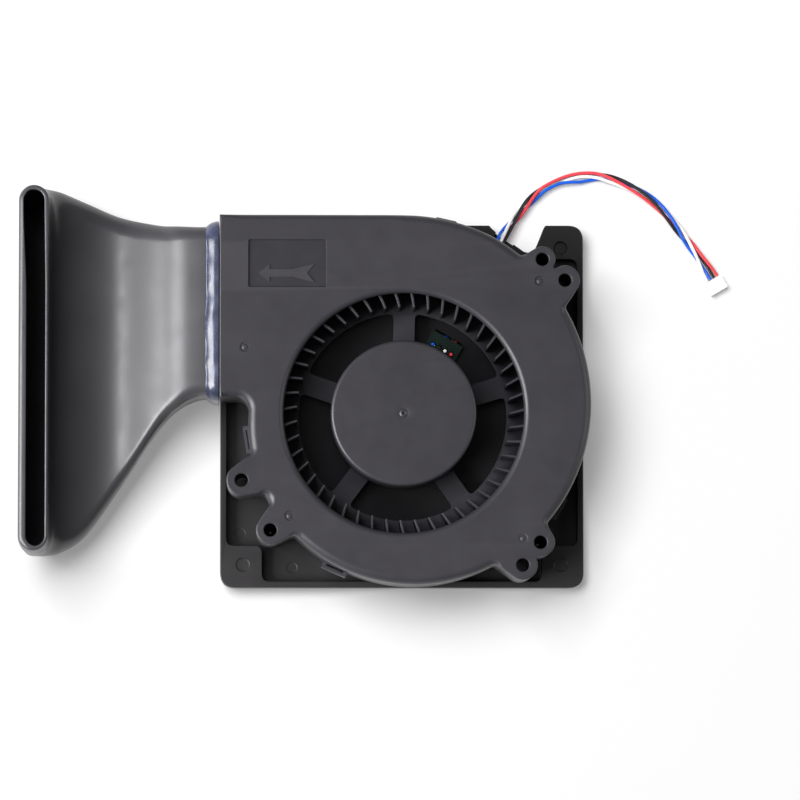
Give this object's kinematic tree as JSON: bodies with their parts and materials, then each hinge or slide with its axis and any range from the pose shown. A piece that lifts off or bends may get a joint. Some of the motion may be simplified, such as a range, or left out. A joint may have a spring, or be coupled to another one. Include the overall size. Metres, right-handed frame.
{
  "type": "radial blower with slot duct",
  "caption": "Flat radial blower on a square mounting tray, blowing into a flared duct with a long slot mouth; short lead with a small connector.",
  "frame": {"origin": "centre of the mounting tray's back face", "axes": "+Z out of the air inlet, -X towards the duct, +Y towards the edge that the lead leaves"},
  "size_m": [0.2336, 0.1387, 0.045],
  "materials": {
    "tray_plastic": "dark charcoal moulded plastic, satin",
    "housing_plastic": "charcoal moulded plastic, fine satin texture",
    "duct_plastic": "dark grey moulded plastic, smooth semi-gloss",
    "sealant": "navy blue cured sealant, glossy and uneven",
    "steel": "plain steel",
    "brass": "turned brass",
    "ferrite": "dark bonded ferrite",
    "copper": "enamelled copper winding",
    "nylon": "white nylon",
    "fibreglass": "green solder resist",
    "black_epoxy": "black moulded epoxy",
    "capacitor_can": "brown sleeve",
    "tin": "tin plated bronze",
    "red_insulation": "red wire insulation",
    "black_insulation": "black wire insulation",
    "blue_insulation": "blue wire insulation",
    "white_insulation": "white wire insulation"
  },
  "bodies": {
    "housing": {"mounting_tray": "tray_plastic", "back_shell": "housing_plastic", "front_shell": "housing_plastic", "outlet_duct": "duct_plastic", "sealant_bead": "sealant", "tray_screw_a": "steel", "tray_screw_d": "steel", "tray_screw_e": "steel", "bearing_tube": "brass", "lower_bearing_outer_race": "steel", "upper_bearing_outer_race": "steel", "stator_core": "steel", "stator_upper_insulator": "nylon", "stator_lower_insulator": "nylon", "stator_coil_1": "copper", "stator_coil_2": "copper", "stator_coil_3": "copper", "stator_coil_4": "copper", "circuit_board": "fibreglass", "driver_chip": "black_epoxy", "hall_sensor": "black_epoxy", "filter_capacitor": "capacitor_can", "red_inner_lead": "red_insulation", "black_inner_lead": "black_insulation", "blue_inner_lead": "blue_insulation", "white_inner_lead": "white_insulation", "red_wire": "red_insulation", "black_wire": "black_insulation", "blue_wire": "blue_insulation", "white_wire": "white_insulation", "connector_housing": "nylon", "crimp_terminal_1": "tin", "crimp_terminal_2": "tin", "crimp_terminal_3": "tin", "crimp_terminal_4": "tin"},
    "rotor": {"impeller": "housing_plastic", "rotor_yoke": "steel", "rotor_magnet": "ferrite", "rotor_shaft": "steel", "shaft_boss": "brass", "lower_bearing_inner_race": "steel", "upper_bearing_inner_race": "steel", "preload_spring": "steel", "retaining_clip": "steel", "spacer_washer": "steel"},
    "upper_balls": {"upper_bearing_ball_set": "brass"},
    "lower_balls": {"lower_bearing_ball_set": "brass"}
  },
  "joints": [
    {"name": "rotor_spin", "type": "hinge", "parent": "housing", "child": "rotor", "pos_m": [0, -0.0041, 0.0205], "axis": [0, 0, 1], "continuous": true},
    {"name": "upper_balls_spin", "type": "hinge", "parent": "housing", "child": "upper_balls", "pos_m": [0, -0.0041, 0.027], "axis": [0, 0, 1], "continuous": true},
    {"name": "lower_balls_spin", "type": "hinge", "parent": "housing", "child": "lower_balls", "pos_m": [0, -0.0041, 0.0145], "axis": [0, 0, 1], "continuous": true}
  ],
  "couplings": [
    {"joint": "upper_balls_spin", "follows": "rotor_spin", "ratio": 0.3846},
    {"joint": "lower_balls_spin", "follows": "rotor_spin", "ratio": 0.3846}
  ]
}
